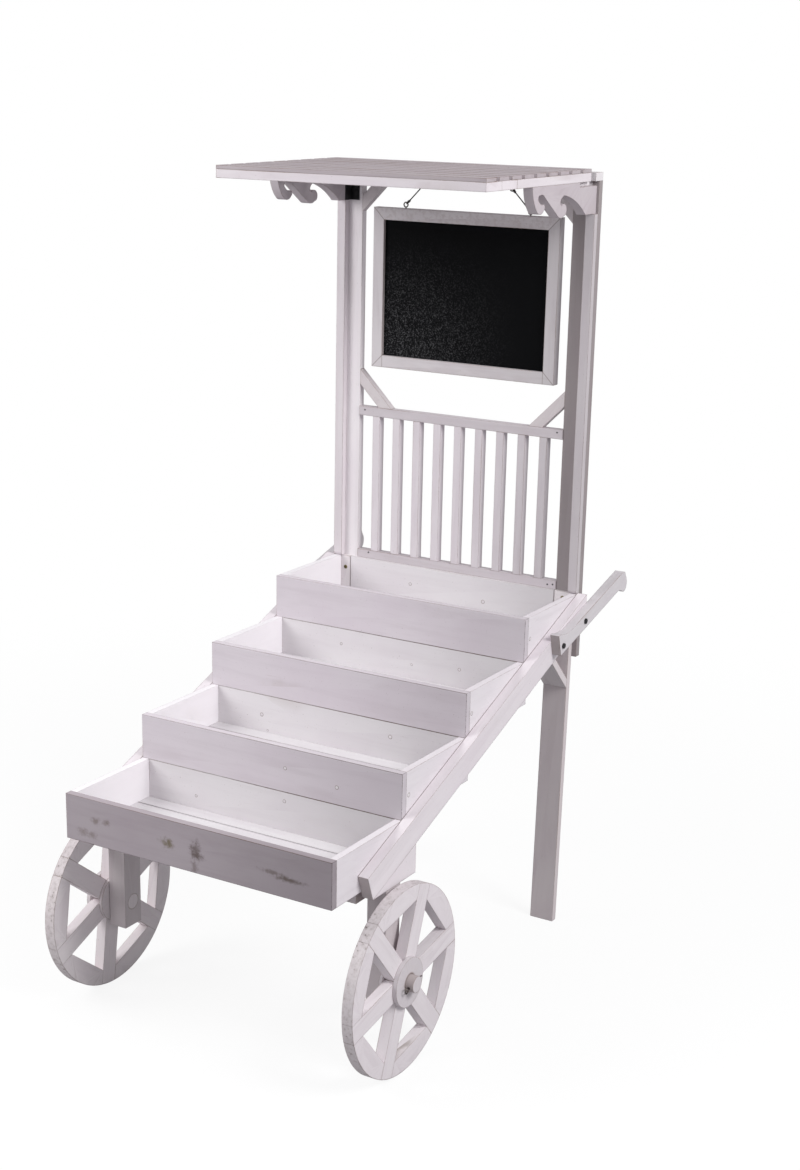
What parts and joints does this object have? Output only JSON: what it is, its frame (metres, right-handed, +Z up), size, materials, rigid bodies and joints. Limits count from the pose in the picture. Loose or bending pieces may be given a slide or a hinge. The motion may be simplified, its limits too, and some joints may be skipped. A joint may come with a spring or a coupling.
{
  "type": "flower cart plant stand",
  "caption": "Wheeled wooden plant stand: stepped open trays on sloping rails, push handles, and a back frame with a railing, a hanging chalkboard and a slatted roof on scroll hooks.",
  "frame": {"origin": "middle of the bounding box on the floor, between the wheels and the legs", "axes": "+X to the right as seen from the front, +Y to the back where the handles point, +Z up"},
  "size_m": [0.612, 0.9, 1.3],
  "materials": {
    "whitewashed_pine": "matte whitewash, worn through to brown wood on the edges",
    "black_board": "matt black chalk paint",
    "black_iron": "black, slightly rubbed",
    "plain_steel": "plain drawn wire, slightly dulled",
    "dark_cord": "thin twisted cord"
  },
  "bodies": {
    "cart": {"tray_1_front": "whitewashed_pine", "tray_1_sides": "whitewashed_pine", "tray_1_back": "whitewashed_pine", "tray_1_floor": "whitewashed_pine", "tray_2_front": "whitewashed_pine", "tray_2_sides": "whitewashed_pine", "tray_2_back": "whitewashed_pine", "tray_2_floor": "whitewashed_pine", "tray_3_front": "whitewashed_pine", "tray_3_sides": "whitewashed_pine", "tray_3_back": "whitewashed_pine", "tray_3_floor": "whitewashed_pine", "tray_4_front": "whitewashed_pine", "tray_4_sides": "whitewashed_pine", "tray_4_back": "whitewashed_pine", "tray_4_floor": "whitewashed_pine", "side_rail_right": "whitewashed_pine", "side_rail_left": "whitewashed_pine", "wheel_post_right": "whitewashed_pine", "wheel_post_left": "whitewashed_pine", "axle_right": "whitewashed_pine", "axle_left": "whitewashed_pine", "rear_leg_right": "whitewashed_pine", "rear_leg_left": "whitewashed_pine", "handle_right": "whitewashed_pine", "handle_left": "whitewashed_pine", "post_board_right": "whitewashed_pine", "post_board_left": "whitewashed_pine", "hook_bracket_right": "whitewashed_pine", "hook_bracket_left": "whitewashed_pine", "wedge_blocks": "whitewashed_pine", "cotter_pins": "plain_steel", "knee_braces": "whitewashed_pine", "post_battens": "whitewashed_pine", "corner_irons": "black_iron", "front_cross_beam": "whitewashed_pine", "tray_4_corner_blocks": "whitewashed_pine", "handle_bolts": "black_iron", "top_rail": "whitewashed_pine", "railing_rails": "whitewashed_pine", "balusters": "whitewashed_pine", "corner_braces": "whitewashed_pine", "roof_slats": "whitewashed_pine", "roof_front_rails": "whitewashed_pine", "roof_bearers": "whitewashed_pine", "top_beam": "whitewashed_pine", "roof_flat_rail": "whitewashed_pine", "upper_screw_eyes": "plain_steel"},
    "wheel_left": {"wheel_left_rim": "whitewashed_pine", "wheel_left_spokes": "whitewashed_pine", "wheel_left_hub_discs": "whitewashed_pine"},
    "wheel_right": {"wheel_right_rim": "whitewashed_pine", "wheel_right_spokes": "whitewashed_pine", "wheel_right_hub_discs": "whitewashed_pine"},
    "chalkboard": {"chalkboard_frame": "whitewashed_pine", "chalkboard_panel": "black_board", "board_screw_eyes": "plain_steel", "hanging_cord_left": "dark_cord", "hanging_cord_right": "dark_cord"}
  },
  "joints": [
    {"name": "wheel_left_spin", "type": "hinge", "parent": "cart", "child": "wheel_left", "pos_m": [-0.277, -0.29998, 0.15], "axis": [1, 0, 0], "continuous": true},
    {"name": "wheel_right_spin", "type": "hinge", "parent": "cart", "child": "wheel_right", "pos_m": [0.277, -0.29998, 0.15], "axis": [1, 0, 0], "continuous": true},
    {"name": "chalkboard_swing", "type": "hinge", "parent": "cart", "child": "chalkboard", "pos_m": [0, 0.33852, 1.2611], "axis": [1, 0, 0], "range_deg": [-25, 25]}
  ]
}
